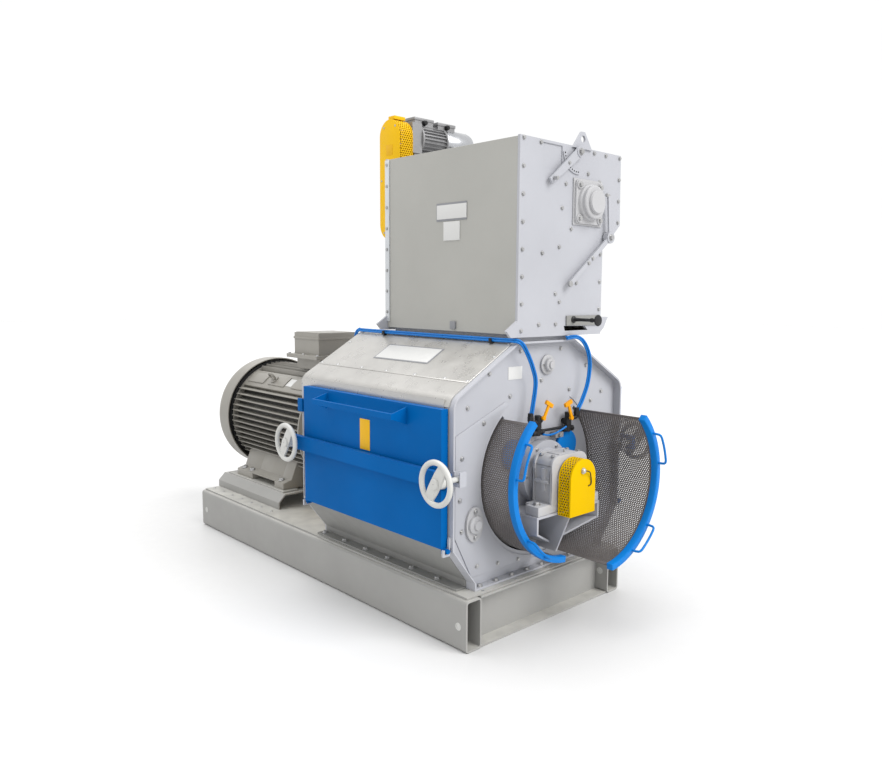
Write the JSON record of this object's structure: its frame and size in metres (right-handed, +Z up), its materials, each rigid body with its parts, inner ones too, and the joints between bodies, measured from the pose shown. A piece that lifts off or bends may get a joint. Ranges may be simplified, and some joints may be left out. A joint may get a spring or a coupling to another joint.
{
  "type": "hammer mill",
  "caption": "Grain hammer mill with a motor-driven swinging-hammer rotor, half-round slide-out screens, tilting side doors, a powered roll feeder on top and a tubular base frame.",
  "frame": {"origin": "on the floor under the machine, at the middle of the base frame's plan", "axes": "+X from the main motor to the screen end along the rotor axis, +Z up, -Y towards the near door"},
  "size_m": [2.617, 1.226, 2.122],
  "materials": {
    "base_paint": "satin warm grey paint",
    "housing_paint": "satin light grey paint",
    "feeder_paint": "satin light warm grey paint",
    "cover_steel": "satin light metallic paint",
    "motor_paint": "satin taupe enamel",
    "guard_yellow": "semi-gloss safety yellow",
    "door_blue": "semi-gloss blue",
    "wheel_white": "semi-gloss off-white",
    "bearing_iron": "painted light grey",
    "shaft_steel": "ground",
    "rotor_steel": "dark oiled plate",
    "screen_steel": "punched sheet",
    "lever_steel": "satin light grey",
    "drawer_black": "black",
    "gearmotor_grey": "painted die casting",
    "hose_blue": "smooth",
    "valve_black": "matt",
    "handle_orange": "dipped grip"
  },
  "bodies": {
    "frame": {"base_rail_near": "base_paint", "base_rail_far": "base_paint", "base_front_channel": "base_paint", "base_mid_channel": "base_paint", "base_rear_channel": "base_paint", "bed_plate": "base_paint", "motor_pedestal": "base_paint", "motor_frame": "motor_paint", "motor_fan_cowl": "motor_paint", "motor_terminal_box": "motor_paint", "coupling_guard": "guard_yellow", "mill_front_plate": "housing_paint", "mill_rear_plate": "housing_paint", "lower_side_near": "housing_paint", "lower_side_far": "housing_paint", "shoulder_cover_near": "cover_steel", "shoulder_cover_far": "cover_steel", "lid_cover_near": "cover_steel", "lid_cover_far": "cover_steel", "top_deck": "housing_paint", "bearing_bracket": "housing_paint", "front_bearing": "bearing_iron", "bearing_guard": "guard_yellow", "rear_bearing": "bearing_iron", "feeder_front_plate": "housing_paint", "feeder_back_plate": "housing_paint", "feeder_side_near": "feeder_paint", "feeder_side_far": "feeder_paint", "feeder_bearing": "bearing_iron", "worm_gearbox": "motor_paint", "chain_guard": "guard_yellow", "gearmotor": "gearmotor_grey", "air_hose_near": "hose_blue", "air_hose_far": "hose_blue", "air_valves": "valve_black"},
    "rotor": {"motor_shaft": "shaft_steel", "rotor_shaft": "shaft_steel", "rotor_drum": "rotor_steel", "hammer_row_1": "rotor_steel", "hammer_row_2": "rotor_steel", "hammer_row_3": "rotor_steel", "hammer_row_4": "rotor_steel"},
    "feed_roll": {"feeder_roll": "rotor_steel"},
    "drive_sprocket": {"upper_sprocket": "shaft_steel"},
    "worm_sprocket": {"lower_sprocket": "shaft_steel"},
    "near_screen": {"screen_near": "screen_steel"},
    "far_screen": {"screen_far": "screen_steel"},
    "near_door": {"door_near": "door_blue", "clamp_bar_near": "door_blue"},
    "far_door": {"door_far": "door_blue", "clamp_bar_far": "door_blue"},
    "near_rear_wheel": {"wheel_near_rear": "wheel_white"},
    "near_front_wheel": {"wheel_near_front": "wheel_white"},
    "far_rear_wheel": {"wheel_far_rear": "wheel_white"},
    "far_front_wheel": {"wheel_far_front": "wheel_white"},
    "feed_gate": {"gate_lever": "lever_steel"},
    "trap_flap": {"flap_lever": "lever_steel"},
    "drawer": {"trap_drawer": "drawer_black"},
    "near_valve_handle": {"valve_handle_near": "handle_orange"},
    "far_valve_handle": {"valve_handle_far": "handle_orange"}
  },
  "joints": [
    {"name": "rotor_spin", "type": "hinge", "parent": "frame", "child": "rotor", "pos_m": [0, 0, 0.605], "axis": [1, 0, 0], "continuous": true},
    {"name": "roll_spin", "type": "hinge", "parent": "frame", "child": "feed_roll", "pos_m": [0.648, 0.222, 1.688], "axis": [1, 0, 0], "continuous": true},
    {"name": "worm_sprocket_spin", "type": "hinge", "parent": "frame", "child": "worm_sprocket", "pos_m": [0.163, -0.06, 1.633], "axis": [0, 1, 0], "continuous": true},
    {"name": "drive_sprocket_spin", "type": "hinge", "parent": "frame", "child": "drive_sprocket", "pos_m": [0.163, -0.06, 2.026], "axis": [0, 1, 0], "continuous": true},
    {"name": "near_screen_slide", "type": "slide", "parent": "frame", "child": "near_screen", "axis": [1, 0, 0], "range_m": [-0.145, 0.82]},
    {"name": "far_screen_slide", "type": "slide", "parent": "frame", "child": "far_screen", "axis": [1, 0, 0], "range_m": [-0.329, 0.64]},
    {"name": "near_door_hinge", "type": "hinge", "parent": "frame", "child": "near_door", "pos_m": [0.574, -0.5205, 0.392], "axis": [1, 0, 0], "range_deg": [0, 95]},
    {"name": "far_door_hinge", "type": "hinge", "parent": "frame", "child": "far_door", "pos_m": [0.574, 0.5205, 0.392], "axis": [-1, 0, 0], "range_deg": [0, 95]},
    {"name": "near_rear_wheel_turn", "type": "hinge", "parent": "near_door", "child": "near_rear_wheel", "pos_m": [0.069, -0.6, 0.66], "axis": [0, 1, 0], "continuous": true},
    {"name": "near_front_wheel_turn", "type": "hinge", "parent": "near_door", "child": "near_front_wheel", "pos_m": [1.072, -0.6, 0.66], "axis": [0, 1, 0], "continuous": true},
    {"name": "far_rear_wheel_turn", "type": "hinge", "parent": "far_door", "child": "far_rear_wheel", "pos_m": [0.069, 0.6, 0.66], "axis": [0, 1, 0], "continuous": true},
    {"name": "far_front_wheel_turn", "type": "hinge", "parent": "far_door", "child": "far_front_wheel", "pos_m": [1.072, 0.6, 0.66], "axis": [0, 1, 0], "continuous": true},
    {"name": "feed_gate_lever", "type": "hinge", "parent": "frame", "child": "feed_gate", "pos_m": [1.07, 0.15, 1.88], "axis": [1, 0, 0], "range_deg": [-25, 25]},
    {"name": "trap_flap_lever", "type": "hinge", "parent": "frame", "child": "trap_flap", "pos_m": [1.078, 0.352, 1.556], "axis": [1, 0, 0], "range_deg": [-25, 10]},
    {"name": "drawer_slide", "type": "slide", "parent": "frame", "child": "drawer", "axis": [1, 0, 0], "range_m": [0, 0.28]},
    {"name": "near_valve_turn", "type": "hinge", "parent": "frame", "child": "near_valve_handle", "pos_m": [1.068, -0.033, 0.83], "axis": [1, 0, 0], "range_deg": [-90, 0]},
    {"name": "far_valve_turn", "type": "hinge", "parent": "frame", "child": "far_valve_handle", "pos_m": [1.068, 0.14, 0.814], "axis": [1, 0, 0], "range_deg": [0, 90]}
  ],
  "couplings": [
    {"joint": "worm_sprocket_spin", "follows": "roll_spin", "ratio": 5},
    {"joint": "drive_sprocket_spin", "follows": "roll_spin", "ratio": 5}
  ]
}
